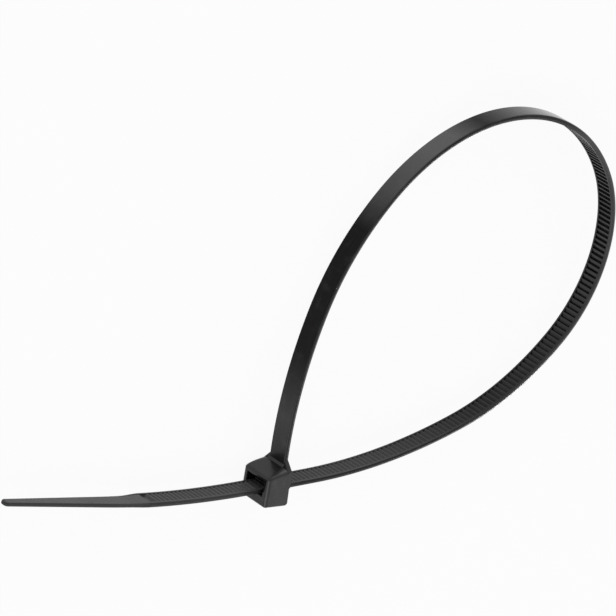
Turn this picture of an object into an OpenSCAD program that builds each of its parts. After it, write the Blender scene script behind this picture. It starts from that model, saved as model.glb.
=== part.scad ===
// A nylon cable tie, closed into a loop with its tail drawn through the head.
// It lies on the side of its head, so the loop is drawn in plan and +Z runs across the strap.
// The origin is under the middle of the slot. +X points to the side where the strap enters
// the head, and +Y along the strap where it grows out of the head.

/* [Strap] */
// Width of the strap across its edges
strap_w = 4.8; // [4.4:0.1:5.2]
// Thickness of the strap over the rails
strap_t = 1.2; // [1.1:0.05:1.3]
// Rounding along the edges of the smooth face
face_round = 0.3; // [0.15:0.05:0.35]
// Rounding along the outer edges of the rails
rail_round = 0.15; // [0.05:0.05:0.2]
// How far each edge falls back from the mould's parting line
edge_draft = 0.08; // [0.04:0.01:0.14]
// Width of the rail on each side of the teeth
rail_w = 0.55; // [0.45:0.05:0.7]

/* [Teeth] */
// Distance from tooth to tooth
tooth_pitch = 1.27; // [1.15:0.01:1.5]
// Height of a tooth over the valley beside it
tooth_h = 0.42; // [0.3:0.02:0.46]
// How far the teeth stay below the rails
tooth_drop = 0.06; // [0.04:0.01:0.1]
// Length of the flat on top of a tooth
tooth_land = 0.3; // [0.2:0.05:0.4]
// Lean of a tooth's steep face, measured along the strap
tooth_lean = 0.08; // [0.04:0.02:0.16]
// Plain length of strap between the head and the first tooth
tooth_start = 9; // [4:1:16]

/* [Loop] */
// Bend where the strap rises from the head, in degrees
rise_angle = 19; // [17:1:21]
// Bend of the shoulder after the rise, in degrees
shoulder_angle = 28.7; // [27:0.1:30]
// Radius of the shoulder
shoulder_r = 58; // [56:1:60]
// Bend of the long crown, in degrees
crown_angle = 102.2; // [100:0.2:104]
// Radius of the long crown
crown_r = 44; // [42:0.5:46]
// Bend of the tight far turn, in degrees
far_angle = 78.7; // [77:0.1:80]
// Radius of the tight far turn
far_r = 33; // [31:0.5:35]
// Bend of the way back, in degrees
return_angle = 30.8; // [29:0.2:32]
// Radius of the way back
return_r = 58; // [56:1:60]
// Straight length in front of the slot's middle
run_in = 14; // [12:0.5:16]

/* [Tail] */
// Straight length behind the slot's middle
tail_straight = 3.5; // [3:0.5:6]
// Radius of the tail's gentle bend
tail_r = 289; // [230:1:400]
// Toothed length of the tail from the slot's middle
tail_toothed = 35.5; // [20:0.5:50]
// Length of the plain pulling end
pull_len = 41; // [30:1:50]
// Length over which the gentle bend runs on into the pulling end
pull_bend = 12.5; // [9:0.5:16]
// Length of the slope from the rails down to the pulling end
pull_slope = 6.5; // [4:0.5:8]
// Thickness of the pulling end
pull_t = 0.95; // [0.8:0.05:1.05]
// Width of the pulling end behind the slope
pull_w = 3.95; // [3.4:0.05:4.2]
// Width of the pulling end at its tip
tip_w = 2; // [1.6:0.05:3]

/* [Head] */
// Width of the head across the strap
head_w = 8.2; // [7.8:0.1:9]
// Reach of the head from the slot's middle to the exit face
head_back = 2.8; // [2.6:0.1:3.2]
// Reach of the head from the slot's middle to the entry face
head_front = 4; // [3.9:0.1:4.4]
// Height of the head's top over the slot's middle, at the exit face
head_top = 4; // [3.9:0.1:4.4]
// Depth of the sole under the slot's middle, at the exit face
sole_back = 3.1; // [2.9:0.1:3.4]
// Depth of the sole under the slot's middle, at the entry face
sole_front = 4.5; // [4:0.1:4.8]
// Rounding of the head's edges
head_round = 0.5; // [0.35:0.05:0.6]
// Rounding of the sole's front corner
sole_round = 1.2; // [0.8:0.1:1.5]
// How far the entry face leans back towards its top
front_lean = 0.1; // [0.05:0.05:0.3]
// How far the exit face leans out towards the sole
back_lean = 0.3; // [0.1:0.05:0.4]

/* [Strap root] */
// Height of the ridge at the strap's root over the head's top
ridge_rise = 0.9; // [0.7:0.05:1.1]
// How far the ridge stands out from the strap's smooth face
ridge_step = 0.65; // [0.4:0.05:0.8]
// Height of the slanting foot between the ridge and the strap
foot_h = 0.75; // [0.5:0.05:1]
// How far the foot is wider than the strap, on each side
root_side = 0.15; // [0.1:0.05:0.25]
// Height over the ridge of the gussets that hold the strap's edges
gusset_rise = 1.2; // [1:0.1:1.4]
// Width of a gusset's top beside the strap
gusset_top = 0.05; // [0.05:0.05:0.15]
// Height of the shoulders' lower edge over the head's top
shoulder_rise = 0.15; // [0.1:0.05:0.25]
// Free straight length of the strap over its root
root_free = 0.8; // [0.6:0.1:1.2]

/* [Slot and pawl] */
// Lean of the strap through the head, in degrees
slot_lean = 7.5; // [6:0.5:9]
// Clearance over and under the strap in the slot
slot_gap = 0.15; // [0.12:0.01:0.2]
// Clearance beside each edge of the strap in the slot
side_gap = 0.35; // [0.25:0.05:0.45]
// Height of the pawl's chamber over the slot's middle
chamber_top = 2.9; // [2.7:0.05:3]
// Reach of the chamber from the slot's middle towards the entry face
chamber_front = 2.3; // [2.1:0.1:2.4]
// Depth of the slanting lip under the strap at the exit
lip = 0.45; // [0.3:0.05:0.6]
// Clearance between the pawl's teeth and the strap's teeth
pawl_gap = 0.1; // [0.08:0.01:0.13]
// Clearance between the pawl's teeth and each rail
pawl_side = 0.3; // [0.2:0.05:0.4]
// Thickness of the pawl over its teeth
pawl_t = 0.8; // [0.6:0.05:0.9]
// Thickness of the pawl's hinge
hinge_t = 0.6; // [0.5:0.05:0.7]
// Reach of the pawl's tip behind the slot's middle
pawl_reach = 1.6; // [1.5:0.05:1.7]

/* [Hidden] */
$fn = 240;
corner_steps = 4;
wide = 24;
bite = 0.1;
hair = 0.01;

half_t = strap_t / 2;
toothed_half = strap_w / 2 - rail_w;
tip_side = tooth_drop - half_t;
valley_side = tip_side + tooth_h;
floor_side = valley_side + bite / 2;
ridge_y = head_top + ridge_rise;
foot_y = ridge_y + foot_h;
gusset_y = ridge_y + gusset_rise;
shoulder_y = head_top + shoulder_rise;
root_x = head_front - front_lean - half_t;
smooth_x = root_x - half_t;
root_y = foot_y + root_free;
root_len = root_free + foot_h + 1;

// Unit vector along a given one
function unit(v) = v / norm(v);

// The points that round the corner b between its neighbours a and c
function corner(a, b, c, r) =
    let (
        u = unit(a - b),
        v = unit(c - b),
        half = acos(u * v) / 2,
        middle = b + unit(u + v) * r / sin(half),
        p = b + u * r / tan(half) - middle,
        q = b + v * r / tan(half) - middle,
        from = atan2(p[1], p[0]),
        turn = atan2(p[0] * q[1] - p[1] * q[0], p * q)
    )
    [for (k = [0:corner_steps])
        middle + r * [
            cos(from + turn * k / corner_steps),
            sin(from + turn * k / corner_steps)
        ]];

// An outline from [x, y, rounding] corners
function rounded(pts) =
    [for (i = [0:len(pts) - 1])
        let (
            a = pts[(i + len(pts) - 1) % len(pts)],
            b = pts[i],
            c = pts[(i + 1) % len(pts)]
        )
        each b[2] == 0
            ? [[b[0], b[1]]]
            : corner([a[0], a[1]], [b[0], b[1]], [c[0], c[1]], b[2])];

// The corners mirrored to negative y, in the opposite order
function mirrored(pts) =
    [for (i = [len(pts) - 1:-1:0]) [pts[i][0], -pts[i][1], pts[i][2]]];

// The corners with x and y changed over
function swapped(pts) = [for (p = pts) [p[1], p[0], p[2]]];

// The way from the start to the end of a clockwise bend of radius 1 that starts on heading h
function bend_chord(h, angle) = [sin(h) - sin(h - angle), cos(h - angle) - cos(h)];

// The loop turns three quarters of a circle and the slot's lean. Its last bend takes the rest.
run_in_angle = 270 + slot_lean - rise_angle - shoulder_angle - crown_angle - far_angle
    - return_angle;
shoulder_h = 90 - rise_angle;
crown_h = shoulder_h - shoulder_angle;
far_h = crown_h - crown_angle;
return_h = far_h - far_angle;
run_in_h = return_h - return_angle;

// The first and the last bend get the radii that bring the strap exactly to the slot
still_to_go = run_in * [cos(slot_lean), -sin(slot_lean)] - [root_x, root_y]
    - shoulder_r * bend_chord(shoulder_h, shoulder_angle)
    - crown_r * bend_chord(crown_h, crown_angle)
    - far_r * bend_chord(far_h, far_angle)
    - return_r * bend_chord(return_h, return_angle);
rise_chord = bend_chord(90, rise_angle);
run_in_chord = bend_chord(run_in_h, run_in_angle);
chord_cross = rise_chord[0] * run_in_chord[1] - rise_chord[1] * run_in_chord[0];
rise_r = (still_to_go[0] * run_in_chord[1] - still_to_go[1] * run_in_chord[0]) / chord_cross;
run_in_r = (rise_chord[0] * still_to_go[1] - rise_chord[1] * still_to_go[0]) / chord_cross;

// The strap's middle line as legs: [radius, angle] for a bend, [0, length] for a straight
legs = [
    [0, root_len],
    [rise_r, rise_angle],
    [shoulder_r, shoulder_angle],
    [crown_r, crown_angle],
    [far_r, far_angle],
    [return_r, return_angle],
    [run_in_r, run_in_angle],
    [0, run_in + tail_straight],
    [tail_r, (tail_toothed - tail_straight) / tail_r * 180 / PI]
];

function leg_length(leg) = leg[0] == 0 ? leg[1] : leg[0] * leg[1] * PI / 180;

// Place and heading, [x, y, heading], after a length s of a leg of radius r that starts at p
function along(p, r, s) =
    r == 0
        ? [p[0] + s * cos(p[2]), p[1] + s * sin(p[2]), p[2]]
        : let (
            turn = s / r * 180 / PI,
            d = r * bend_chord(p[2], turn)
        )
        [p[0] + d[0], p[1] + d[1], p[2] - turn];

// Where each leg starts, and the length of strap before it
leg_starts = [for (i = 0, p = [root_x, root_y - root_len, 90]; i <= len(legs);
    p = i < len(legs) ? along(p, legs[i][0], leg_length(legs[i])) : p, i = i + 1) p];
leg_sums = [for (i = 0, s = 0; i <= len(legs);
    s = i < len(legs) ? s + leg_length(legs[i]) : s, i = i + 1) s];
slot_s = leg_sums[len(legs)] - tail_toothed;

function leg_at(s, i = 0) =
    i == len(legs) - 1 || s < leg_sums[i + 1] ? i : leg_at(s, i + 1);

// The point at a length s along the strap and at a distance d to its smooth side
function strap_point(s, d) =
    let (
        i = leg_at(s),
        p = along(leg_starts[i], legs[i][0], s - leg_sums[i])
    )
    [p[0] - d * sin(p[2]), p[1] + d * cos(p[2])];

// Half of the strap's section: distance to the smooth side, distance across, rounding
function half_section(w, t) = [
    [-t / 2, w / 2 - edge_draft, rail_round],
    [0, w / 2, 0],
    [t / 2, w / 2 - edge_draft, face_round]
];

// The strap's section without its channel
module plain_section(w = strap_w, t = strap_t) {
    half = half_section(w, t);
    polygon(rounded(concat(half, mirrored(half))));
}

// The strap's section with the channel that holds the teeth, slimmer by slim on every side
module railed_section(slim) {
    half = concat(
        [
            [floor_side + slim, toothed_half + slim, 0],
            [slim - half_t, toothed_half + slim, 0]
        ],
        half_section(strap_w - 2 * slim, strap_t - 2 * slim)
    );
    polygon(rounded(concat(half, mirrored(half))));
}

// Carries a section straight on from a place and heading
module straight_leg(p, length) {
    translate([p[0], p[1], 0])
        rotate([0, 0, p[2] + 90])
            rotate([90, 0, 0])
                linear_extrude(length)
                    children();
}

// Carries a section round a clockwise bend from a place and heading
module bent_leg(p, r, angle) {
    translate([p[0] + r * sin(p[2]), p[1] - r * cos(p[2]), 0])
        rotate([0, 0, p[2] + 90 - angle])
            rotate_extrude(angle = angle)
                translate([r, 0])
                    children();
}

// The strap from the head to the end of its teeth, with rails and channel. Every second leg is
// a hair slimmer and runs into its neighbours, so that the legs join without a gap.
module railed_strap() {
    for (i = [0:len(legs) - 1]) {
        slim = i % 2 == 0 ? 0 : hair;
        lap = i % 2 == 0 ? 0 : bite;
        r = legs[i][0];
        start = along(leg_starts[i], r, -lap);
        length = leg_length(legs[i]) + 2 * lap;
        if (r == 0)
            straight_leg(start, length)
                railed_section(slim);
        else
            bent_leg(start, r, length / r * 180 / PI)
                railed_section(slim);
    }
}

// Teeth are counted from the slot's middle, so that the pawl's teeth always fit between them
first_tooth = -floor((slot_s - root_len - tooth_start) / tooth_pitch);
last_tooth = floor(tail_toothed / tooth_pitch) - 1;

// The row of teeth, steep towards the head and sloping towards the tail
module tooth_row() {
    start_s = slot_s + first_tooth * tooth_pitch;
    end_s = slot_s + (last_tooth + 1) * tooth_pitch;
    plain_steps = floor(start_s / tooth_pitch);
    plain = [for (k = [0:plain_steps])
        strap_point(start_s * k / plain_steps, tip_side)];
    teeth = [for (i = [first_tooth:last_tooth])
        let (s = slot_s + i * tooth_pitch)
        each [
            strap_point(s, valley_side),
            strap_point(s + tooth_lean, tip_side),
            strap_point(s + tooth_lean + tooth_land, tip_side)
        ]];
    end = [
        strap_point(end_s, valley_side),
        strap_point(leg_sums[len(legs)], valley_side)
    ];
    back_steps = floor(leg_sums[len(legs)] / tooth_pitch);
    back = [for (k = [back_steps:-1:0])
        strap_point(leg_sums[len(legs)] * k / back_steps, floor_side + bite)];
    translate([0, 0, -toothed_half - bite])
        linear_extrude(2 * (toothed_half + bite))
            polygon(concat(plain, teeth, end, back));
}

// Place and heading at a distance s from the end of the teeth
function pull_place(s) =
    let (p = leg_starts[len(legs)])
    s < pull_bend ? along(p, tail_r, s) : along(along(p, tail_r, pull_bend), 0, s - pull_bend);

// Width of the pulling end at a distance s behind its slope
function pull_w_at(s) = pull_w - (pull_w - tip_w) * (s - pull_slope) / (pull_len - pull_slope);

// A thin slice of the pulling end, a hair under the level of the smooth face
module pull_slice(s, w, t) {
    slice = 0.02;
    straight_leg(pull_place(s), slice)
        translate([(strap_t - t) / 2 - hair, 0])
            plain_section(w, t);
}

// The plain pulling end: a slope down from the rails, then a long taper to a blunt tip
module pulling_end() {
    tip_start = pull_len - tip_w / 5;
    hull() {
        pull_slice(-bite, strap_w - 2 * hair, strap_t - 2 * hair);
        pull_slice(pull_slope, pull_w, pull_t);
    }
    hull() {
        pull_slice(pull_slope, pull_w, pull_t);
        pull_slice(pull_bend, pull_w_at(pull_bend), pull_t);
    }
    hull() {
        pull_slice(pull_bend, pull_w_at(pull_bend), pull_t);
        pull_slice(tip_start, pull_w_at(tip_start), pull_t);
        pull_slice(pull_len, tip_w * 0.65, pull_t * 0.75);
    }
}

// The head's outline from the side, up to the ridge at the strap's root
module head_side() {
    front_bend_y = -0.9;
    ridge_round = 0.2;
    polygon(rounded([
        [-head_back - back_lean, -sole_back, head_round],
        [head_front, -sole_front, sole_round],
        [head_front, front_bend_y, 0],
        [head_front - front_lean, ridge_y, ridge_round],
        [smooth_x - ridge_step, ridge_y, ridge_round],
        [-head_back, head_top, head_round]
    ]));
}

// The head's outline across the strap: straight sides, and low shoulders up to the ridge
module head_across() {
    half = [
        [-sole_front - bite, head_w / 2, 0],
        [shoulder_y, head_w / 2, head_round / 2],
        [ridge_y + shoulder_rise, strap_w / 2 + root_side, 0]
    ];
    polygon(rounded(swapped(concat(half, mirrored(half)))));
}

// The slanting foot under the strap's smooth face, from the side
module foot_side() {
    polygon([
        [smooth_x - ridge_step, ridge_y],
        [smooth_x - ridge_step, 0],
        [root_x, 0],
        [root_x, foot_y],
        [smooth_x + bite, foot_y],
        [smooth_x, foot_y - bite]
    ]);
}

// The gussets from the side: they start behind the strap's smooth face
module gusset_side() {
    translate([smooth_x + bite, 0])
        square([strap_t - bite - hair, gusset_y]);
}

// The gussets' outline across the strap: steep flanks from the head's sides up to the strap
module gusset_across() {
    half = [
        [0, head_w / 2 - hair, 0],
        [shoulder_y - bite, head_w / 2 - hair, 0],
        [gusset_y, strap_w / 2 + gusset_top, 0]
    ];
    polygon(rounded(swapped(concat(half, mirrored(half)))));
}

// Draws an outline out across the strap, by half of w to each side
module across_strap(w = wide) {
    translate([0, 0, -w / 2])
        linear_extrude(w)
            children();
}

// A slab that starts at x with two rounded edges, and is as wide as the head
module rounded_end(x) {
    half = [[x, head_w / 2, head_round], [wide, head_w / 2, 0]];
    rotate([90, 0, 0])
        across_strap()
            polygon(rounded(concat(half, mirrored(half))));
}

// The solid head: what its outlines and its three rounded ends have in common
module head_block() {
    back_tilt = atan(back_lean / (head_top + sole_back));
    sole_tilt = atan((sole_front - sole_back) / (head_front + head_back + back_lean));
    intersection() {
        union() {
            intersection() {
                across_strap()
                    head_side();
                rotate([0, 90, 0])
                    across_strap()
                        head_across();
            }
            intersection() {
                across_strap()
                    gusset_side();
                rotate([0, 90, 0])
                    across_strap()
                        gusset_across();
            }
            across_strap(strap_w + 2 * root_side)
                foot_side();
        }
        translate([head_front, 0, 0])
            rotate([0, 0, 180])
                rounded_end(0);
        translate([-head_back, head_top, 0])
            rotate([0, 0, -back_tilt])
                rounded_end(-hair);
        translate([head_front, -sole_front, 0])
            rotate([0, 0, 90 - sole_tilt])
                rounded_end(-hair);
    }
}

// The way through the head: the slot, and the pawl's chamber open to the exit
module head_hollow() {
    hollow_w = strap_w + 2 * side_gap;
    translate([0, 0, -hollow_w / 2]) {
        linear_extrude(hollow_w)
            rotate(-slot_lean)
                square([wide, strap_t + 2 * slot_gap], center = true);
        linear_extrude(hollow_w)
            polygon([
                [-head_back - 1, -half_t - lip],
                [-head_back + lip, -half_t + bite],
                [0, 0],
                [chamber_front, 0],
                [chamber_front, chamber_top],
                [-head_back - 1, chamber_top]
            ]);
    }
}

// The pawl: a tongue hinged over the entry, with teeth that fit between the strap's teeth
module pawl() {
    valley_y = -valley_side + 1.2 * pawl_gap;
    crest_y = valley_y + tooth_h;
    hinge_y = half_t + slot_gap + bite;
    hinge_x = chamber_front + 3 * bite;
    teeth = [for (j = [1:-1:0])
        let (x = -j * tooth_pitch + pawl_gap / 2)
        each [
            [x - tooth_lean, crest_y],
            [x, valley_y],
            [x + tooth_pitch - tooth_lean - tooth_land, crest_y]
        ]];
    pawl_w = 2 * (toothed_half - pawl_side);
    translate([0, 0, -pawl_w / 2])
        linear_extrude(pawl_w)
            rotate(-slot_lean)
                polygon(concat(
                    [[-pawl_reach, crest_y]],
                    teeth,
                    [
                        [hinge_x, hinge_y],
                        [hinge_x, hinge_y + hinge_t],
                        [chamber_front / 2, crest_y + pawl_t],
                        [-pawl_reach, crest_y + pawl_t * 0.75]
                    ]
                ));
}

// The whole tie
module cable_tie() {
    color([0.06, 0.06, 0.065])
        translate([0, 0, head_w / 2]) {
            difference() {
                head_block();
                head_hollow();
            }
            pawl();
            railed_strap();
            tooth_row();
            pulling_end();
        }
}

cable_tie();
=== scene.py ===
import math

import bpy
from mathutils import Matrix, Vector


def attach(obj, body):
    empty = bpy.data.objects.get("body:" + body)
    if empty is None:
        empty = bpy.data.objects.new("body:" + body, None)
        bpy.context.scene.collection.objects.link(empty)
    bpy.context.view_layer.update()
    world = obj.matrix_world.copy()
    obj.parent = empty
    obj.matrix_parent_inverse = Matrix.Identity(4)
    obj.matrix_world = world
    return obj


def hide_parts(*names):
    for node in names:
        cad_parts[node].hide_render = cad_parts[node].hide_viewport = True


bl_info = {
    "name": "Cable tie",
    "version": (1, 0, 0),
    "blender": (4, 5, 0),
    "location": "View3D > Sidebar > Cable tie",
    "description": "Builds a closed nylon cable tie with its teeth, head, pawl and tail",
    "category": "Add Mesh",
}

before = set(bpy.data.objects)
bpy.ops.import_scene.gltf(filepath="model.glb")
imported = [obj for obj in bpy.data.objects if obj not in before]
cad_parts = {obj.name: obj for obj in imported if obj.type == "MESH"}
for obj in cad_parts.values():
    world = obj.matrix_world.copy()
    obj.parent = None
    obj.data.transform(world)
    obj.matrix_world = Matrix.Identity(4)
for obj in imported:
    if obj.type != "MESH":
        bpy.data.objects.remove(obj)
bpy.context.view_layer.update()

MM = 0.001
NODE = "cable_tie"

# Lengths are in millimetres. Places and sizes on the stage, at the end of this list, are in metres.
# BITE is how far a shape reaches into another one that it is fused with or cut from.
BITE = 0.1
# HAIR keeps two faces from lying in one plane, and is the slack in the tests that pick by place.
HAIR = 0.01
# the least height between the rails' tops and the face between them
RAIL_STEP = 0.004
# the leg of the middle line that runs through the slot, counted from 0
SLOT_LEG = 7

# Polish along the strap as (length, polish) pairs. They were chosen until the light and dark
# stretches lay where the photograph shows them. These stretches are painted sheen: reflections of the
# studio laid into the coat's weight, so they are a stand-in and not a known finish.
SMOOTH_FACE_POLISH_AND_SHEEN = (
    (0, 0.2), (12, 0.4), (27, 0.02), (57, 0.0), (67, 0.65), (80, 0.95), (86, 0.85), (94, 0.05),
    (117, 1.0), (150, 1.0), (180, 0.4),
)
TEETH_POLISH_AND_SHEEN = (
    (0, 0.3), (122, 0.3), (130, 0.8), (136, 0.3), (160, 0.45), (200, 0.28), (250, 0.2), (320, 0.2),
    (335, 0.25),
)
EDGE_POLISH_AND_SHEEN = (
    (0, 0.22), (70, 0.22), (85, 0.1), (120, 0.15), (130, 0.5), (205, 0.5), (226, 0.12), (285, 0.1),
    (292, 0.3),
)
# share of the teeth's polish that the valleys between them have: where it is below 1, it is painted
# shade in the valleys
VALLEY_POLISH_AND_SHADE = ((0, 0.5), (165, 0.5), (185, 0.1), (215, 0.1), (245, 1.0))
# how pale the nylon is on the side of the teeth: more on the run-in and the tail. The paler colour is
# painted light, which brightens these stretches and flattens the teeth's shading
TEETH_PALE = ((0, 0.0), (215, 0.0), (250, 0.95), (318, 0.95), (330, 0.3))

# The strap's own map: this much for a millimetre, with 0.5 on the middle across
MAP_SCALE = 0.01
# the flat round mark, taken for an ejector pin's: its place along the strap and off the middle, the
# radius where it starts and the radius where it is down
PIN_MARK = (19.6, 0.9)
PIN_RIM, PIN_FLAT = 0.75, 0.55

# The nylon's fine surface. Grain and cloud are noises with a scale for a metre. Flow lines and waves
# are noises with a scale along and across the strap's own map.
GRAIN_SCALE, CLOUD_SCALE = 5200, 420
FLOW_SCALE, WAVE_SCALE = (14, 420, 0), (260, 9, 0)
# the noise levels between which the pale colour comes in, and how much of it there is at most
CLOUD_BAND, FLOW_BAND = (0.5, 0.78), (0.52, 0.8)
CLOUD_PALE, FLOW_PALE = 0.3, 0.27
# how far the roughness goes up and down in all, and the heights that the bumps are made from
CLOUD_ROUGH, FLOW_ROUGH = 0.16, 0.14
GRAIN_HEIGHT, CLOUD_HEIGHT, WAVE_HEIGHT, PIN_DEPTH = 0.22, 0.9, 0.7, 1.6

# The lamps by name: way from the aim to the lamp, length of its sides, and power in watts
LAMP_AIM = Vector((0.03, 0.03, 0.004))
LAMPS = {
    "left_box": ((-0.62, -0.46, 0.64), 0.5, 1.3),
    "top_box": ((0.62, 0.74, 0.26), 0.3, 1.0),
    "rim_box": ((0.749, -0.6475, 0.14), 0.1, 1.6),
}
FLOOR_SIDE = 8
# share of the floor's look that is plain white and not lit
FLOOR_GLOW = 0.92
# The camera stands where the photograph was taken from, as far as it could be worked out. Its focal
# length is in the photograph's pixels, and the width of its sensor in millimetres.
CAMERA_PLACE = (-0.601637, 0.483467, 0.594849)
CAMERA_DEGREES = (-34.296136, -41.538947, 9.785065)
FOCAL_PIXELS, PHOTO_PIXELS = 4500.18, 616
SENSOR_WIDTH = 36


# Sizes and colours that a user may change


def length(label, words, value):
    return bpy.props.FloatProperty(name=label, description=words + ", in millimetres", default=value)


def angle(label, words, degrees):
    return bpy.props.FloatProperty(
        name=label, description=words, default=math.radians(degrees), subtype="ANGLE"
    )


class StrapSizes(bpy.types.PropertyGroup):
    width: length("Width", "Width of the strap", 4.8)
    thickness: length("Thickness", "Thickness over the rails", 1.2)
    draft: length("Edge draft", "How far each edge falls back from the parting line", 0.08)
    face_round: length("Face rounding", "Rounding along the edges of the smooth face", 0.3)
    rail_round: length("Rail rounding", "Rounding along the outer edges of the rails", 0.15)
    rail_width: length("Rail width", "Width of each rail", 0.55)
    pitch: length("Tooth pitch", "Distance from tooth to tooth", 1.27)
    tooth_height: length("Tooth height", "Height of a tooth", 0.42)
    tooth_drop: length("Tooth drop", "How far the teeth stay below the rails", 0.06)
    tooth_land: length("Tooth land", "Flat on top of a tooth", 0.3)
    tooth_lean: length("Tooth lean", "Lean of a tooth's steep face", 0.08)
    plain_start: length("Plain start", "Plain strap between the head and the first tooth", 9.0)
    pull_length: length("Pulling end", "Length of the plain pulling end", 41.0)
    pull_slope: length("Slope", "Length of the slope down to the pulling end", 6.5)
    pull_width: length("Pulling end width", "Width behind the slope", 3.95)
    pull_thickness: length("Pulling end thickness", "Thickness of the pulling end", 0.95)
    tip_width: length("Tip width", "Width at the tip", 2.0)


class LoopSizes(bpy.types.PropertyGroup):
    start: bpy.props.FloatVectorProperty(
        name="Start", description="Where the first bend starts, in millimetres", size=2,
        default=(3.3, 6.45),
    )
    root: length("Root", "Straight strap inside and over the head", 2.55)
    rise: angle("Rise", "Bend where the strap rises from the head", 19.0)
    shoulder: angle("Shoulder", "Bend of the shoulder", 28.7)
    shoulder_radius: length("Shoulder radius", "Radius of the shoulder", 58.0)
    crown: angle("Crown", "Bend of the long crown", 102.2)
    crown_radius: length("Crown radius", "Radius of the long crown", 44.0)
    far: angle("Far turn", "Bend of the tight far turn", 78.7)
    far_radius: length("Far radius", "Radius of the tight far turn", 33.0)
    back: angle("Way back", "Bend of the way back", 30.8)
    back_radius: length("Way back radius", "Radius of the way back", 58.0)
    lean: angle("Lean", "Lean of the strap in the slot", 7.5)
    run_in: length("Run-in", "Straight strap before the slot's middle", 14.0)
    tail_straight: length("Tail straight", "Straight strap behind the slot's middle", 3.5)
    tail_radius: length("Tail radius", "Radius of the tail's gentle bend", 289.0)
    tail_toothed: length("Toothed tail", "Toothed length behind the slot's middle", 35.5)
    tail_bend: length("Bent end", "Bent length of the pulling end", 12.5)


class HeadSizes(bpy.types.PropertyGroup):
    width: length("Width", "Width of the head across the strap", 8.2)
    back: length("Back", "Reach to the exit face", 2.8)
    back_lean: length("Back lean", "How far the exit face leans out towards the sole", 0.3)
    front: length("Front", "Reach to the entry face", 4.0)
    top: length("Top", "Height of the top at the exit face", 4.0)
    ridge: length("Ridge", "Height of the ridge at the strap's root", 4.9)
    ridge_step: length("Ridge step", "How far the ridge stands out from the strap", 0.65)
    foot: length("Foot", "Height of the curved foot under the strap", 0.75)
    sole_back: length("Sole back", "Depth of the sole at the exit face", 3.1)
    sole_front: length("Sole front", "Depth of the sole at the entry face", 4.5)
    edge: length("Edge", "Rounding of the head's edges", 0.5)
    corner: length("Corner", "Rounding of the exit face's upright edges", 0.95)
    shoulder_edge: length("Shoulder edge", "Rounding of the shoulders' edges", 0.55)
    fine_edge: length("Fine edge", "Rounding of the small edges", 0.12)
    sole_round: length("Sole rounding", "Rounding of the sole's front corner", 1.2)
    rim_round: length("Rim rounding", "Rounding of the opening's rim", 0.14)
    front_lean: length("Front lean", "How far the entry face leans back", 0.1)
    shoulder: length("Shoulder", "Height of the shoulders' lower edge over the top", 0.15)
    gusset: length("Gusset", "Height of the gussets beside the strap", 6.1)
    gusset_top: length("Gusset top", "Width of a gusset's top beside the strap", 0.05)
    root_side: length("Root side", "How far the root is wider than the strap", 0.15)
    slot_gap: length("Slot gap", "Clearance over and under the strap", 0.15)
    side_gap: length("Side gap", "Clearance beside the strap", 0.35)
    chamber_top: length("Chamber top", "Height of the pawl's chamber", 2.9)
    chamber_front: length("Chamber front", "Reach of the chamber to the entry", 2.3)
    lip: length("Lip", "Depth of the slanting lip at the exit", 0.45)
    pawl_gap: length("Pawl gap", "Clearance of the pawl's teeth", 0.1)
    pawl_side: length("Pawl side", "Clearance beside the pawl's teeth", 0.3)
    pawl_thickness: length("Pawl", "Thickness of the pawl over its teeth", 0.8)
    pawl_reach: length("Pawl reach", "Reach of the pawl's tip", 1.6)
    pawl_edge: length("Pawl edge", "Rounding of the pawl's edges", 0.06)
    hinge: length("Hinge", "Thickness of the pawl's hinge", 0.6)


class Look(bpy.types.PropertyGroup):
    colour: bpy.props.FloatVectorProperty(
        name="Nylon", description="Colour of the nylon", size=4, subtype="COLOR",
        default=(0.0085, 0.0085, 0.0095, 1.0), min=0.0, max=1.0,
    )
    pale: bpy.props.FloatVectorProperty(
        name="Pale nylon", description="Colour of the palest nylon", size=4,
        subtype="COLOR", default=(0.055, 0.055, 0.058, 1.0), min=0.0, max=1.0,
    )
    floor: bpy.props.FloatVectorProperty(
        name="Floor", description="Colour of the floor", size=4, subtype="COLOR",
        default=(0.9, 0.9, 0.9, 1.0), min=0.0, max=1.0,
    )
    polish: bpy.props.FloatProperty(
        name="Polish", description="Polish of the head", default=0.36
    )
    seen_sky: bpy.props.FloatProperty(
        name="Seen sky", description="Strength of the sky where it is seen or mirrored", default=0.9
    )
    sky: bpy.props.FloatProperty(
        name="Sky", description="Strength of the even light from all sides", default=0.64
    )


def sizes(group):
    return getattr(bpy.context.scene, group)


# The strap's middle line


def chord(heading, turn):
    """Way from the start to the end of a clockwise bend of radius 1 that starts on a heading."""
    return Vector((
        math.sin(heading) - math.sin(heading - turn),
        math.cos(heading - turn) - math.cos(heading),
    ))


def strap_legs():
    """The middle line as (radius, length) legs. Radius 0 is a straight."""
    loop = sizes("tie_loop")
    bends = (
        (loop.shoulder_radius, loop.shoulder), (loop.crown_radius, loop.crown),
        (loop.far_radius, loop.far), (loop.back_radius, loop.back),
    )
    # the first and the last bend take the radii that bridge what these four leave
    left = loop.run_in * Vector((math.cos(loop.lean), -math.sin(loop.lean))) - Vector(loop.start)
    heading = math.pi / 2 - loop.rise
    for radius, turn in bends:
        left -= radius * chord(heading, turn)
        heading -= turn
    last_turn = heading + math.pi + loop.lean
    a, b = chord(math.pi / 2, loop.rise), chord(heading, last_turn)
    determinant = a.x * b.y - a.y * b.x
    first_radius = (left.x * b.y - left.y * b.x) / determinant
    last_radius = (a.x * left.y - a.y * left.x) / determinant
    # the last straight is longer than the rest of the pulling end
    spare = 60.0
    return [
        (0.0, loop.root),
        (first_radius, first_radius * loop.rise),
        *((radius, radius * turn) for radius, turn in bends),
        (last_radius, last_radius * last_turn),
        (0.0, loop.run_in + loop.tail_straight),
        (loop.tail_radius, loop.tail_toothed - loop.tail_straight + loop.tail_bend),
        (0.0, spare),
    ]


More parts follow.
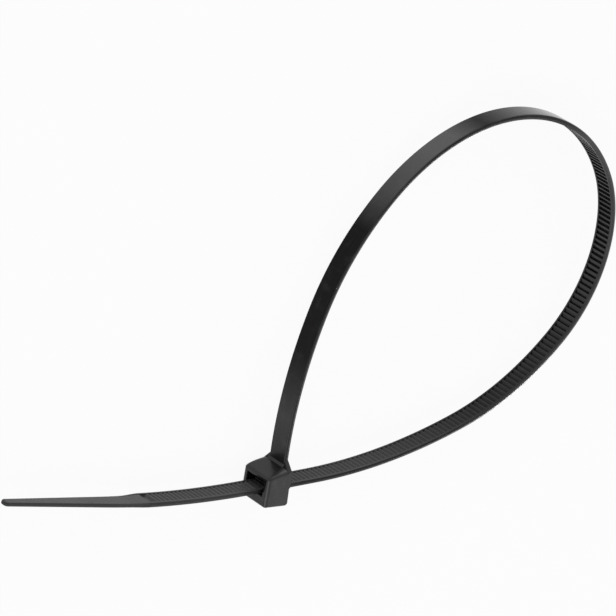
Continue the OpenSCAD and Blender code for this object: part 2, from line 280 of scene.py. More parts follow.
def strap_line():
    """Points on the middle line, and the length at the slot's middle."""
    loop = sizes("tie_loop")
    bend_step, straight_step = 0.5, 2.0
    x, y, heading = loop.start[0], loop.start[1] - loop.root, math.pi / 2
    points, total, slot = [Vector((x, y, 0))], 0.0, 0.0
    for number, (radius, run) in enumerate(strap_legs()):
        count = max(1, round(run / (bend_step if radius else straight_step)))
        for k in range(1, count + 1):
            part = run * k / count
            if radius:
                way = radius * chord(heading, part / radius)
            else:
                way = part * Vector((math.cos(heading), math.sin(heading)))
            points.append(Vector((x + way.x, y + way.y, 0)))
        x, y = points[-1].x, points[-1].y
        if radius:
            heading -= run / radius
        total += run
        if number == SLOT_LEG:
            slot = total - loop.tail_straight
    return points, slot


# Making and shaping meshes


def alone(obj):
    """Leaves everything deselected but one object."""
    if bpy.context.object and bpy.context.object.mode != "OBJECT":
        bpy.ops.object.mode_set(mode="OBJECT")
    bpy.ops.object.select_all(action="DESELECT")
    obj.select_set(True)
    bpy.context.view_layer.objects.active = obj


def shape(obj, *steps):
    """Runs edit-mode steps on one object."""
    alone(obj)
    bpy.ops.object.mode_set(mode="EDIT")
    for step in steps:
        step()
    bpy.ops.object.mode_set(mode="OBJECT")


def select_all():
    bpy.ops.mesh.select_all(action="SELECT")


def face_outwards():
    select_all()
    bpy.ops.mesh.normals_make_consistent(inside=False)


def draw_on(way):
    """An edit-mode step that extrudes what is selected along a way."""
    return lambda: bpy.ops.mesh.extrude_region_move(TRANSFORM_OT_translate={"value": way})


def edge_ends(me, edge):
    return [me.vertices[number].co for number in edge.vertices]


def pick(obj, verts=None, edges=None):
    """Selects the vertices or the edges for which a test is true."""
    alone(obj)
    bpy.ops.object.mode_set(mode="EDIT")
    bpy.ops.mesh.select_mode(type="VERT" if verts else "EDGE")
    bpy.ops.mesh.select_all(action="DESELECT")
    bpy.ops.object.mode_set(mode="OBJECT")
    me = obj.data
    if verts:
        for v in me.vertices:
            v.select = verts(v.co)
    if edges:
        for edge in me.edges:
            edge.select = edges(*edge_ends(me, edge))


def modify(obj, kind, **values):
    """Adds a modifier with its values and applies it."""
    alone(obj)
    m = obj.modifiers.new(kind.lower(), kind)
    for key, value in values.items():
        setattr(m, key, value)
    bpy.ops.object.modifier_apply(modifier=m.name)


def combine(obj, other, operation):
    """Fuses another object with this one, or cuts it out of it, and deletes the other one."""
    modify(obj, "BOOLEAN", operation=operation, object=other, solver="EXACT")
    bpy.data.objects.remove(other)


def outline_plate(name, points, depth):
    """A closed prism: an outline in X and Y, drawn out along Z by depth to both sides."""
    bpy.ops.object.select_all(action="DESELECT")
    bpy.ops.mesh.primitive_circle_add(vertices=len(points), radius=1, fill_type="NGON")
    obj = bpy.context.object
    obj.name = name
    for v, (x, y) in zip(obj.data.vertices, points):
        v.co = (x, y, -depth)
    shape(obj, select_all, draw_on((0, 0, 2 * depth)), face_outwards)
    return obj


def weigh_edges(obj, *rules):
    """Gives edges their bevel weight by (test, weight) rules, where the first that fits counts."""
    me = obj.data
    layer = me.attributes.new("bevel_weight_edge", "FLOAT", "EDGE")
    for edge in me.edges:
        a, b = edge_ends(me, edge)
        layer.data[edge.index].value = next((weight for test, weight in rules if test(a, b)), 0.0)


def near(a, b, reach=1e-3):
    return abs(a - b) < reach


def to_frame(obj):
    """Takes a mesh from millimetres about the strap's middle plane to metres in the frame."""
    lift = sizes("tie_head").width / 2
    for v in obj.data.vertices:
        v.co = (v.co.x * MM, v.co.y * MM, (v.co.z + lift) * MM)
    obj.data.update()


def smooth(obj, degrees):
    """Shades an object smooth, apart from edges that turn by more than this."""
    alone(obj)
    bpy.ops.object.shade_smooth_by_angle(angle=math.radians(degrees), keep_sharp_edges=True)
    modify(obj, "WEIGHTED_NORMAL", mode="FACE_AREA", keep_sharp=True, weight=60)


def finish_piece(obj):
    obj.data.materials.clear()
    obj.data.materials.append(nylon())
    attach(obj, "root")
    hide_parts(NODE)


# The strap


def round_corner(a, b, c, radius, steps):
    """Points that round the corner b between a and c."""
    a, b, c = Vector(a), Vector(b), Vector(c)
    u, v = (a - b).normalized(), (c - b).normalized()
    half = u.angle(v) / 2
    middle = b + (u + v).normalized() * radius / math.sin(half)
    p = b + u * radius / math.tan(half) - middle
    q = b + v * radius / math.tan(half) - middle
    turn = math.atan2(p.x * q.y - p.y * q.x, p.dot(q))
    first = math.atan2(p.y, p.x)
    ways = [first + turn * k / steps for k in range(steps + 1)]
    return [middle + radius * Vector((math.cos(way), math.sin(way))) for way in ways]


def section(width, thick, face, level):
    """The strap's outline as (height, across) points.

    The smooth face is at the height of face, and the ground between the rails at that of level.
    """
    strap = sizes("tie_strap")
    parting, side = face - thick / 2, width / 2
    top, bottom, flank = parting + thick / 2, parting - thick / 2, side - strap.draft
    inner = side - strap.rail_width * width / strap.width
    rail_steps, face_steps = 3, 4
    half = [
        Vector((level, inner)),
        Vector((bottom, inner)),
        *round_corner((bottom, 0), (bottom, flank), (parting, side), strap.rail_round, rail_steps),
        Vector((parting, side)),
        *round_corner((parting, side), (top, flank), (top, 0), strap.face_round, face_steps),
    ]
    return half + [Vector((a.x, -a.y)) for a in reversed(half)]


def plain_section(width, thick, face, drop=0.0):
    """An outline of the plain end, where the ground is this far below the rails."""
    return section(width, thick, face, face - thick + (drop + RAIL_STEP))


def tooth_sections():
    """The outlines in the valley between two teeth and over a tooth."""
    strap = sizes("tie_strap")
    face = strap.thickness / 2
    tip = strap.tooth_drop - face
    return [
        section(strap.width, strap.thickness, face, level)
        for level in (tip + strap.tooth_height, tip)
    ]


def keep_outline(obj, outline):
    """Notes the outline of the end that the strap is drawn on from."""
    obj["outline"] = [value for point in outline for value in point]


def extend(obj, x, outline, backwards=False):
    """Draws the open end on to x, where it takes the given outline."""
    places = [v.co.x for v in obj.data.vertices]
    end = min(places) if backwards else max(places)
    values = list(obj["outline"])
    last = [Vector(pair) for pair in zip(values[::2], values[1::2])]
    pick(obj, verts=lambda co: near(co.x, end, reach=1e-5))
    shape(obj, draw_on((x - end, 0, 0)))
    for v in obj.data.vertices[len(places):]:
        k = min(range(len(last)), key=lambda i: (last[i] - v.co.yz).length)
        v.co = (x, *outline[k])
    keep_outline(obj, outline)


def tooth_unit():
    """One pitch of toothed strap, open at both ends, along X."""
    strap = sizes("tie_strap")
    low, high = tooth_sections()
    bpy.ops.object.select_all(action="DESELECT")
    bpy.ops.mesh.primitive_circle_add(vertices=len(low), radius=1)
    obj = bpy.context.object
    obj.name = "strap"
    for v, point in zip(obj.data.vertices, low):
        v.co = (0, *point)
    keep_outline(obj, low)
    extend(obj, strap.tooth_lean, high)
    extend(obj, strap.tooth_lean + strap.tooth_land, high)
    extend(obj, strap.pitch, low)
    return obj


def draw_root(obj, start):
    """Plain strap from the first tooth back to the head, as high as the teeth between its rails."""
    low, high = tooth_sections()
    rise, steps = 0.12, 8
    keep_outline(obj, low)
    extend(obj, start - rise, high, backwards=True)
    for k in range(1, steps + 1):
        extend(obj, (start - rise) * (1 - k / steps), high, backwards=True)


def draw_slope(obj, end):
    """The end of the teeth, and the slope down to the pulling end."""
    strap = sizes("tie_strap")
    low, high = tooth_sections()
    valley, rise, steps = 0.1, 0.35, 4
    keep_outline(obj, low)
    extend(obj, end + valley, low)
    extend(obj, end + rise, high)
    for k in range(1, steps + 1):
        share = k / steps
        share = share * share * (3 - 2 * share)
        width = strap.width + (strap.pull_width - strap.width) * share
        thick = strap.thickness + (strap.pull_thickness - strap.thickness) * share
        outline = plain_section(width, thick, strap.thickness / 2, strap.tooth_drop * (1 - share))
        extend(obj, end + strap.pull_slope * k / steps, outline)


def draw_pulling_end(obj, end):
    """The long taper behind the slope, and the rounded tip."""
    strap = sizes("tie_strap")
    full, face = strap.pull_thickness, strap.thickness / 2
    taper = strap.pull_length - strap.pull_slope
    round_off = 0.42 * strap.tip_width
    taper_steps, round_steps, last_degrees = 11, 5, 82.5
    for k in range(1, taper_steps + 1):
        run = (taper - round_off) * k / taper_steps
        width = strap.pull_width + (strap.tip_width - strap.pull_width) * run / taper
        extend(obj, end + strap.pull_slope + run, plain_section(width, full, face))
    # shares of the width and the thickness that the tip would keep at 90 degrees, and the share of
    # what it loses in thickness that comes off its smooth face
    blunt_width, blunt_thickness, sunk_share = 0.38, 0.6, 0.4
    for k in range(1, round_steps + 1):
        way = math.radians(last_degrees * k / round_steps)
        width = strap.tip_width * (blunt_width + (1 - blunt_width) * math.cos(way))
        thick = full * (blunt_thickness + (1 - blunt_thickness) * math.cos(way))
        outline = plain_section(width, thick, face - (full - thick) * sunk_share)
        extend(obj, end + strap.pull_length - round_off + round_off * math.sin(way), outline)


def close_ends(obj):
    places = [v.co.x for v in obj.data.vertices]
    for place in (min(places), max(places)):
        pick(obj, verts=lambda co: near(co.x, place, reach=1e-5))
        shape(obj, bpy.ops.mesh.edge_face_add)


def build_strap():
    strap, loop = sizes("tie_strap"), sizes("tie_loop")
    points, slot = strap_line()
    # the teeth are counted from the slot's middle, where the pawl's teeth fit between them
    first = -math.floor((slot - loop.root - strap.plain_start) / strap.pitch)
    last = math.floor(loop.tail_toothed / strap.pitch) - 1
    start, end = slot + first * strap.pitch, slot + loop.tail_toothed
    obj = tooth_unit()
    modify(
        obj, "ARRAY", count=last - first + 1, use_relative_offset=False, use_constant_offset=True,
        constant_offset_displace=(strap.pitch, 0, 0), use_merge_vertices=True, merge_threshold=1e-3,
    )
    for v in obj.data.vertices:
        v.co.x += start
    draw_root(obj, start)
    draw_slope(obj, end)
    draw_pulling_end(obj, end)
    close_ends(obj)
    mark_ways(obj)
    shape(obj, face_outwards)
    mark_parting(obj)
    bend_strap(obj, points)
    return obj


def between(pairs, x):
    """The value at x on a line through (x, value) pairs."""
    for (x0, a), (x1, b) in zip(pairs, pairs[1:]):
        if x <= x1:
            return a + (b - a) * max(0.0, x - x0) / (x1 - x0)
    return pairs[-1][1]


def on_map(along, across):
    """A place on the strap's own map, from its length along the strap and off the middle."""
    return along * MAP_SCALE, 0.5 + across * MAP_SCALE


def mark_ways(obj):
    """Keeps the strap's own map, its smooth side, its polish and how pale it is. The polish along the
    strap carries painted sheen, with painted shade in the valleys, and the paler teeth's side is painted
    light.
    """
    me = obj.data
    strap = sizes("tie_strap")
    uv = me.uv_layers.new(name="strap_way")
    for corner in me.loops:
        co = me.vertices[corner.vertex_index].co
        uv.data[corner.index].uv = on_map(co.x, co.z)
    side = me.attributes.new("smooth_side", "FLOAT", "POINT")
    pale = me.attributes.new("pale", "FLOAT", "POINT")
    polish = me.attributes.new("polish", "FLOAT", "POINT")
    edge = strap.width / 2 - strap.draft - HAIR / 2
    inner = strap.width / 2 - strap.rail_width + HAIR
    half_way = strap.tooth_drop + strap.tooth_height / 2 - strap.thickness / 2
    for v in me.vertices:
        along, height, off = v.co.x, v.co.y, abs(v.co.z)
        smooth_side = height > HAIR
        # the tables' polish is painted sheen: stretches of reflection laid into the coat
        if off > edge:
            shine = between(EDGE_POLISH_AND_SHEEN, along)
        elif smooth_side:
            shine = between(SMOOTH_FACE_POLISH_AND_SHEEN, along)
        else:
            shine = between(TEETH_POLISH_AND_SHEEN, along)
            # painted light: a paler colour on the teeth's side of the run-in and the tail
            pale.data[v.index].value = between(TEETH_PALE, along)
            # the teeth point to the side of -height, so the valleys are on the other side of half_way
            # a lower polish in the valleys is painted shade
            if height > half_way and off < inner:
                shine *= between(VALLEY_POLISH_AND_SHADE, along)
        side.data[v.index].value = 1.0 if smooth_side else 0.0
        polish.data[v.index].value = shine


def mark_parting(obj):
    """Keeps the mould's parting line along each edge sharp."""
    side = sizes("tie_strap").width / 2
    me = obj.data
    layer = me.attributes.get("sharp_edge") or me.attributes.new("sharp_edge", "BOOLEAN", "EDGE")
    for edge in me.edges:
        a, b = edge_ends(me, edge)
        along = not near(a.x, b.x, HAIR)
        if along and near(a.y, 0) and near(b.y, 0) and near(abs(a.z), side):
            layer.data[edge.index].value = True


def bend_strap(obj, points):
    """Bends the straight strap along its middle line with a curve."""
    bpy.ops.object.select_all(action="DESELECT")
    bpy.ops.curve.primitive_bezier_curve_add()
    line = bpy.context.object
    line.name = "middle_line"
    curve = line.data
    curve.splines.clear()
    curve.dimensions = "3D"
    curve.twist_mode = "Z_UP"
    curve.use_path = True
    spline = curve.splines.new("POLY")
    spline.points.add(len(points) - 1)
    for knot, place in zip(spline.points, points):
        knot.co = (*place, 1)
    modify(obj, "CURVE", object=line, deform_axis="POS_X")
    bpy.data.objects.remove(line)


# The head


def smooth_face_x():
    return sizes("tie_loop").start[0] - sizes("tie_strap").thickness / 2


def exit_x(y):
    """Where the leaning exit face stands at a height."""
    head = sizes("tie_head")
    return -head.back - head.back_lean * (head.top - y) / (head.top + head.sole_back)


def head_outline():
    head = sizes("tie_head")
    return [
        (exit_x(-head.sole_back), -head.sole_back),
        (head.front, -head.sole_front),
        (head.front - head.front_lean, head.ridge),
        (smooth_face_x() - head.ridge_step, head.ridge),
        (-head.back, head.top),
    ]


def slope_sides(obj, low, front, high):
    """Cuts both sides off along the plane through three points on the side of +Z."""
    low, front, high = Vector(low), Vector(front), Vector(high)
    out = (front - low).cross(high - low).normalized()
    for side in (1, -1):
        shape(
            obj, select_all,
            lambda: bpy.ops.mesh.bisect(
                plane_co=(low.x, low.y, side * low.z), plane_no=(out.x, out.y, side * out.z),
                use_fill=True, clear_outer=True,
            ),
        )


def build_block():
    """The head's block with its shoulders and roundings."""
    head, strap = sizes("tie_head"), sizes("tie_strap")
    half, face = head.width / 2, head.front - head.front_lean
    over_shoulder, under_top = head.top + head.shoulder + HAIR, head.top - 0.5

    def on_side(a, b):
        return near(abs(a.z), half) and near(abs(b.z), half)

    def at_exit(a, b):
        return near(a.x, exit_x(a.y)) and near(b.x, exit_x(b.y))

    def across(a, b):
        return near(a.x, b.x) and near(a.y, b.y)

    obj = outline_plate("head", head_outline(), half)
    slope_sides(
        obj, (-head.back, head.top, half), (face, head.top + head.shoulder, half),
        (face, head.ridge + head.shoulder, strap.width / 2 + head.root_side),
    )
    # the bevel's width is 1, so each weight is the width of its own edge
    weigh_edges(
        obj,
        (lambda a, b: across(a, b) and near(a.y, -head.sole_front), head.sole_round),
        (lambda a, b: across(a, b) and at_exit(a, b), head.edge),
        (lambda a, b: on_side(a, b) and at_exit(a, b), head.corner),
        (lambda a, b: on_side(a, b) and min(a.y, b.y) > under_top, head.shoulder_edge),
        (on_side, head.edge),
        (lambda a, b: across(a, b) and b.y > over_shoulder, head.fine_edge),
        (lambda a, b: max(a.y, b.y) > over_shoulder, head.shoulder_edge),
    )
    modify(
        obj, "BEVEL", width=1.0, segments=5, limit_method="WEIGHT", use_clamp_overlap=False,
        miter_outer="MITER_ARC",
    )
    return obj


def build_gussets():
    """The gussets that hold the strap's edges behind its smooth face."""
    head, strap = sizes("tie_head"), sizes("tie_strap")
    back, front = smooth_face_x() + BITE, head.front - head.front_lean - HAIR
    side, foot = head.width / 2 - HAIR, head.top + head.shoulder - BITE
    outline = [(back, 0), (front, 0), (front, head.gusset), (back, head.gusset)]
    obj = outline_plate("gussets", outline, side)
    top_side = strap.width / 2 + head.gusset_top
    slope_sides(obj, (back, foot, side), (front, foot, side), (front, head.gusset, top_side))
    # only the slopes' own edges are rounded: over the foot, with both ends on one side
    weigh_edges(obj, (lambda a, b: min(a.y, b.y) > foot - HAIR and abs(a.z + b.z) > 1, 1.0))
    modify(obj, "BEVEL", width=head.fine_edge, segments=2, limit_method="WEIGHT")
    return obj


def build_foot():
    """The curved foot between the ridge and the strap's smooth face."""
    head, strap, loop = sizes("tie_head"), sizes("tie_strap"), sizes("tie_loop")
    left, steps = smooth_face_x() - head.ridge_step, 6
    # how far the curve reaches into the strap, how far it starts inside the ridge, and how far the
    # foot's hidden side stands behind the curve's start
    into_strap, into_ridge, behind = 0.03, 0.02, 0.3
    points = [(loop.start[0], 0), (loop.start[0], head.ridge + head.foot)]
    for k in range(steps, -1, -1):
        way = math.pi / 2 * k / steps
        points.append((
            left + (head.ridge_step + into_strap) * math.sin(way),
            head.ridge - into_ridge + head.foot * (1 - math.cos(way)),
        ))
    points.append((left + behind, 0))
    return outline_plate("foot", points, strap.width / 2 + head.root_side)


def leaned(points):
    """Turns points about the slot's middle by the lean of the strap in it."""
    lean = sizes("tie_loop").lean
    return [
        (x * math.cos(lean) + y * math.sin(lean), -x * math.sin(lean) + y * math.cos(lean))
        for x, y in points
    ]


def hollow_cutter():
    """The slot for the strap and the pawl's chamber, as one solid to cut with."""
    head, strap = sizes("tie_head"), sizes("tie_strap")
    face, half = strap.thickness / 2, strap.width / 2 + head.side_gap
    reach, gap = 9.0, face + head.slot_gap
    outside = -head.back - 1
    slot = outline_plate(
        "slot", leaned([(-reach, -gap), (reach, -gap), (reach, gap), (-reach, gap)]), half
    )
    chamber = outline_plate(
        "chamber",
        [
            (outside, -face - head.lip), (-head.back + head.lip, -face + BITE),
            (0, 0), (head.chamber_front, 0),
            (head.chamber_front, head.chamber_top), (outside, head.chamber_top),
        ],
        half,
    )
    combine(slot, chamber, "UNION")
    return slot


def round_rim(obj):
    """Rounds the rim of the opening in the exit face a little."""
    head, strap = sizes("tie_head"), sizes("tie_strap")
    half = strap.width / 2 + head.side_gap + 2 * HAIR
    # heights that the opening's rim lies between
    low, high = -1.5, 3.2

    def on_rim(co):
        return near(co.x, exit_x(co.y), 2 * HAIR) and abs(co.z) < half and low < co.y < high

    pick(obj, edges=lambda a, b: on_rim(a) and on_rim(b))
    shape(obj, lambda: bpy.ops.mesh.bevel(offset=head.rim_round, segments=3, affect="EDGES"))


def build_pawl():
    head, strap = sizes("tie_head"), sizes("tie_strap")
    face = strap.thickness / 2
    # the gap over the strap's teeth, and the share of the pawl's thickness that its tip has
    over_teeth, tip_share = 1.2 * head.pawl_gap, 0.75
    valley = face - strap.tooth_drop - strap.tooth_height + over_teeth
    crest = valley + strap.tooth_height
    hinge_x, hinge_y = head.chamber_front + 3 * BITE, face + head.slot_gap + BITE
    points = [(-head.pawl_reach, crest)]
    for x in (-strap.pitch + head.pawl_gap / 2, head.pawl_gap / 2):
        points += [
            (x - strap.tooth_lean, crest),
            (x, valley),
            (x + strap.pitch - strap.tooth_lean - strap.tooth_land, crest),
        ]
    points += [
        (hinge_x, hinge_y),
        (hinge_x, hinge_y + head.hinge),
        (head.chamber_front / 2, crest + head.pawl_thickness),
        (-head.pawl_reach, crest + tip_share * head.pawl_thickness),
    ]
    obj = outline_plate("pawl", leaned(points), strap.width / 2 - strap.rail_width - head.pawl_side)
    modify(
        obj, "BEVEL", width=head.pawl_edge, segments=2, limit_method="ANGLE",
        angle_limit=math.radians(35),
    )
    return obj


def held(x):
    """x, held between 0 and 1."""
    return min(1.0, max(0.0, x))


def mark_slopes(obj):
    """Keeps the head's polish. The slopes beside the root are paler and duller, as in the photograph.
    The paler colour is painted light over the shade that falls there, and the duller coat keeps the
    lamps' highlight off them.
    """
    head, strap = sizes("tie_head"), sizes("tie_strap")
    polish = obj.data.attributes.new("polish", "FLOAT", "POINT")
    pale = obj.data.attributes.new("pale", "FLOAT", "POINT")
    # how wide and how high the change is, where it starts, and how pale and how dull it gets
    fade_across, fade_up, start = 0.4, 0.2, head.top + 0.03
    most_pale, most_dull = 0.6, 0.45
    for v in obj.data.vertices:
        beside = held((abs(v.co.z) - strap.width / 2) / fade_across)
        share = beside * held((v.co.y - start) / fade_up)
        # painted light over the shade beside the strap's root, and a duller coat against the lamps'
        # highlight
        pale.data[v.index].value = most_pale * share
        polish.data[v.index].value = sizes("tie_look").polish * (1 - most_dull * share)


def build_head():
    obj = build_block()
    combine(obj, build_gussets(), "UNION")
    combine(obj, build_foot(), "UNION")
    combine(obj, hollow_cutter(), "DIFFERENCE")
    round_rim(obj)
    pawl = build_pawl()
    for piece in (obj, pawl):
        smooth(piece, degrees=30)
    alone(obj)
    pawl.select_set(True)
    bpy.ops.object.join()
    mark_slopes(obj)
    return obj


# Materials


def feed(tree, node, inputs):
    """Sets a node's inputs by (name or number, value or output socket) pairs."""
    for key, value in inputs:
        if isinstance(value, bpy.types.NodeSocket):
            tree.links.new(value, node.inputs[key])
        else:
            node.inputs[key].default_value = value


def add_node(tree, kind, inputs=(), **values):
    """Adds a node with its settings and inputs."""
    node = tree.nodes.new(kind)
    for key, value in values.items():
        setattr(node, key, value)
    feed(tree, node, inputs)
    return node


def math_node(tree, operation, *inputs):
    return add_node(tree, "ShaderNodeMath", enumerate(inputs), operation=operation).outputs[0]


def vector_node(tree, operation, *inputs):
    return add_node(tree, "ShaderNodeVectorMath", enumerate(inputs), operation=operation).outputs


def noise(tree, where, scale, detail=3.0):
    return add_node(
        tree, "ShaderNodeTexNoise", (("Vector", where), ("Scale", scale), ("Detail", detail))
    ).outputs["Fac"]


def stretched_noise(tree, where, scales, detail=3.0):
    """Noise with a scale of its own along each axis."""
    return noise(tree, vector_node(tree, "MULTIPLY", where, scales)["Vector"], 1.0, detail)


def ramp(tree, value, start, end):
    """0 at start, 1 at end and a smooth step between them."""
    return add_node(
        tree, "ShaderNodeMapRange", (("Value", value), ("From Min", start), ("From Max", end)),
        interpolation_type="SMOOTHSTEP",
    ).outputs["Result"]


def about_zero(tree, value, band):
    """Brings a noise between 0 and 1 to a band of this width about 0."""
    return math_node(tree, "MULTIPLY_ADD", value, band, -band / 2)


def mix_colours(tree, share, first, second):
    """A mix of two colours. This node's colour sockets share their names, so they go by number."""
    node = add_node(tree, "ShaderNodeMix", ((0, share), (6, first), (7, second)), data_type="RGBA")
    return node.outputs[2]


def nylon_surface_group():
    """Fine grain, pale patches, flow marks along the strap and one flat round mark."""
    name = "moulded_nylon_surface"
    if name in bpy.data.node_groups:
        return bpy.data.node_groups[name]
    g = bpy.data.node_groups.new(name, "ShaderNodeTree")
    for label, kind, way in (
        ("Vector", "Vector", "INPUT"), ("Strap way", "Vector", "INPUT"),
        ("Smooth side", "Float", "INPUT"), ("Pale", "Float", "INPUT"),
        ("Colour", "Color", "INPUT"), ("Pale colour", "Color", "INPUT"),
        ("Roughness", "Float", "INPUT"), ("Colour", "Color", "OUTPUT"),
        ("Roughness", "Float", "OUTPUT"), ("Height", "Float", "OUTPUT"),
    ):
        g.interface.new_socket(name=label, in_out=way, socket_type="NodeSocket" + kind)
    given, out = add_node(g, "NodeGroupInput").outputs, add_node(g, "NodeGroupOutput")
    grain = noise(g, given["Vector"], GRAIN_SCALE)
    cloud = noise(g, given["Vector"], CLOUD_SCALE, 4.0)
    # faint flow lines along the strap, and waves across it
    flow = stretched_noise(g, given["Strap way"], FLOW_SCALE)
    waves = stretched_noise(g, given["Strap way"], WAVE_SCALE, 2.0)
    patches = math_node(g, "MULTIPLY", ramp(g, cloud, *CLOUD_BAND), CLOUD_PALE)
    streaks = math_node(g, "MULTIPLY", ramp(g, flow, *FLOW_BAND), FLOW_PALE)
    palest = math_node(g, "MAXIMUM", math_node(g, "MAXIMUM", patches, streaks), given["Pale"])
    uneven = math_node(
        g, "ADD", about_zero(g, cloud, CLOUD_ROUGH), about_zero(g, flow, FLOW_ROUGH)
    )
    off_pin = vector_node(g, "DISTANCE", given["Strap way"], (*on_map(*PIN_MARK), 0))["Value"]
    pin = ramp(g, off_pin, PIN_RIM * MAP_SCALE, PIN_FLAT * MAP_SCALE)
    dent = math_node(g, "MULTIPLY", math_node(g, "MULTIPLY", pin, given["Smooth side"]), -PIN_DEPTH)
    fine = math_node(
        g, "MULTIPLY_ADD", grain, GRAIN_HEIGHT, math_node(g, "MULTIPLY", cloud, CLOUD_HEIGHT)
    )
    feed(g, out, (
        ("Colour", mix_colours(g, palest, given["Colour"], given["Pale colour"])),
        ("Roughness", math_node(g, "ADD", given["Roughness"], uneven)),
        ("Height", math_node(g, "ADD", fine, math_node(g, "MULTIPLY_ADD", waves, WAVE_HEIGHT, dent))),
    ))
    return g


def attribute(tree, name):
    return add_node(tree, "ShaderNodeAttribute", attribute_name=name).outputs["Fac"]


def nylon():
    name = "black_nylon_satin"
    if name in bpy.data.materials:
        return bpy.data.materials[name]
    look = sizes("tie_look")
    m = bpy.data.materials.new(name)
    m.use_nodes = True
    tree = m.node_tree
    surface = add_node(
        tree, "ShaderNodeGroup",
        (
            ("Vector", add_node(tree, "ShaderNodeTexCoord").outputs["Object"]),
            ("Strap way", add_node(tree, "ShaderNodeUVMap", uv_map="strap_way").outputs["UV"]),
            ("Smooth side", attribute(tree, "smooth_side")), ("Pale", attribute(tree, "pale")),
            ("Colour", look.colour), ("Pale colour", look.pale), ("Roughness", 0.38),
        ),
        node_tree=nylon_surface_group(),
    ).outputs
    bump = add_node(
        tree, "ShaderNodeBump",
        (("Strength", 0.14), ("Distance", 0.04 * MM), ("Height", surface["Height"])),
    ).outputs["Normal"]
    # the coat's weight follows the polish attribute, which carries the painted sheen and shade of the
    # strap and of the head's slopes
    feed(tree, tree.nodes["Principled BSDF"], (
        ("Base Color", surface["Colour"]), ("Roughness", surface["Roughness"]),
        ("IOR", 1.5), ("Specular IOR Level", 0.06), ("Normal", bump),
        ("Coat Weight", attribute(tree, "polish")), ("Coat Roughness", 0.24), ("Coat IOR", 1.8),
        ("Coat Normal", bump),
    ))
    return m


def seen_rays(tree):
    """1 for the rays that show the background: seen directly, mirrored or through clear parts."""
    path = add_node(tree, "ShaderNodeLightPath").outputs
    mirrored = math_node(tree, "MAXIMUM", path["Is Glossy Ray"], path["Is Transmission Ray"])
    return math_node(tree, "MAXIMUM", path["Is Camera Ray"], mirrored)


def pale_floor():
    """Mostly plain white where it is seen or mirrored, so that only a faint shadow is left on it."""
    m = bpy.data.materials.new("pale_floor")
    m.use_nodes = True
    tree = m.node_tree
    tree.nodes.clear()
    lit = add_node(tree, "ShaderNodeBsdfDiffuse", (("Color", sizes("tie_look").floor),)).outputs[0]
    plain = add_node(tree, "ShaderNodeEmission", (("Strength", 1.0),)).outputs[0]
    share = math_node(tree, "MULTIPLY", seen_rays(tree), FLOOR_GLOW)
    mix = add_node(tree, "ShaderNodeMixShader", ((0, share), (1, lit), (2, plain))).outputs[0]
    add_node(tree, "ShaderNodeOutputMaterial", (("Surface", mix),))
    return m


# Floor, light and camera


def add_floor():
    bpy.ops.object.select_all(action="DESELECT")
    bpy.ops.mesh.primitive_plane_add(size=FLOOR_SIDE, location=(0, 0, 0))
    floor = bpy.context.object
    floor.name = "floor"
    floor.data.materials.append(pale_floor())


def light_world():
    """Even light from all sides, with another strength where the sky is seen or mirrored."""
    look = sizes("tie_look")
    world = bpy.data.worlds.new("studio")
    bpy.context.scene.world = world
    world.use_nodes = True
    tree = world.node_tree
    level = math_node(tree, "MULTIPLY_ADD", seen_rays(tree), look.seen_sky - look.sky, look.sky)
    feed(tree, tree.nodes["Background"], (("Color", (1, 1, 1, 1)), ("Strength", level)))


def add_lamp(name, way, side, power):
    """A square lamp that stands along a way from the aim and faces it."""
    bpy.ops.object.select_all(action="DESELECT")
    bpy.ops.object.light_add(type="AREA", location=LAMP_AIM + Vector(way))
    lamp = bpy.context.object
    lamp.name = name
    lamp.data.shape = "SQUARE"
    lamp.data.size = side
    lamp.data.energy = power
    lamp.rotation_euler = (-Vector(way)).to_track_quat("-Z", "Y").to_euler()


def add_camera():
    bpy.ops.object.camera_add(location=CAMERA_PLACE)
    camera = bpy.context.object
    camera.name = "camera"
    camera.rotation_euler = [math.radians(degrees) for degrees in CAMERA_DEGREES]
    camera.data.sensor_width = SENSOR_WIDTH
    camera.data.lens = SENSOR_WIDTH * FOCAL_PIXELS / PHOTO_PIXELS
    camera.data.clip_start, camera.data.clip_end = 0.01, 20
    bpy.context.scene.camera = camera


# Operators, panel and the run


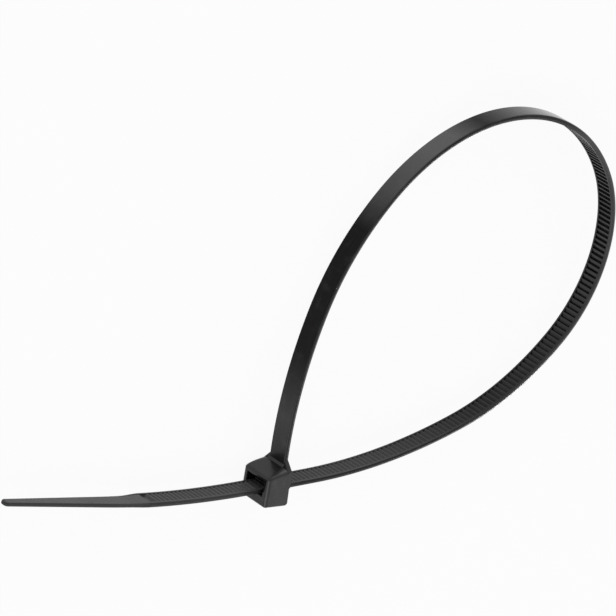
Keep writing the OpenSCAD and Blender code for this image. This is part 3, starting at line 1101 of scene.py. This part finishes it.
class TIE_OT_strap(bpy.types.Operator):
    """Builds the strap with its rails, teeth and pulling end, bent along its middle line"""

    bl_idname = "cable_tie.strap"
    bl_label = "Build the strap"

    def execute(self, context):
        obj = build_strap()
        to_frame(obj)
        smooth(obj, degrees=24)
        finish_piece(obj)
        return {"FINISHED"}


class TIE_OT_head(bpy.types.Operator):
    """Builds the head with its slot and chamber, the strap's root and the pawl"""

    bl_idname = "cable_tie.head"
    bl_label = "Build the head"

    def execute(self, context):
        obj = build_head()
        to_frame(obj)
        finish_piece(obj)
        return {"FINISHED"}


class TIE_OT_stage(bpy.types.Operator):
    """Adds the pale floor, the soft lamps and the camera"""

    bl_idname = "cable_tie.stage"
    bl_label = "Set the stage"

    def execute(self, context):
        add_floor()
        light_world()
        for name, (way, side, power) in LAMPS.items():
            add_lamp(name, way, side, power)
        add_camera()
        context.scene.view_settings.view_transform = "Standard"
        return {"FINISHED"}


class TIE_PT_panel(bpy.types.Panel):
    bl_label = "Cable tie"
    bl_idname = "TIE_PT_panel"
    bl_space_type = "VIEW_3D"
    bl_region_type = "UI"
    bl_category = "Cable tie"

    def draw(self, context):
        column = self.layout.column()
        for step in (TIE_OT_strap, TIE_OT_head, TIE_OT_stage):
            column.operator(step.bl_idname, text=step.bl_label)


CLASSES = (
    StrapSizes, LoopSizes, HeadSizes, Look, TIE_OT_strap, TIE_OT_head, TIE_OT_stage, TIE_PT_panel,
)
GROUPS = {
    "tie_strap": StrapSizes, "tie_loop": LoopSizes, "tie_head": HeadSizes, "tie_look": Look,
}


def register():
    for c in CLASSES:
        bpy.utils.register_class(c)
    for name, group in GROUPS.items():
        setattr(bpy.types.Scene, name, bpy.props.PointerProperty(type=group))


def unregister():
    for name in GROUPS:
        delattr(bpy.types.Scene, name)
    for c in reversed(CLASSES):
        bpy.utils.unregister_class(c)


def main():
    register()
    bpy.ops.cable_tie.strap()
    bpy.ops.cable_tie.head()
    bpy.ops.cable_tie.stage()


if __name__ == "__main__":
    main()
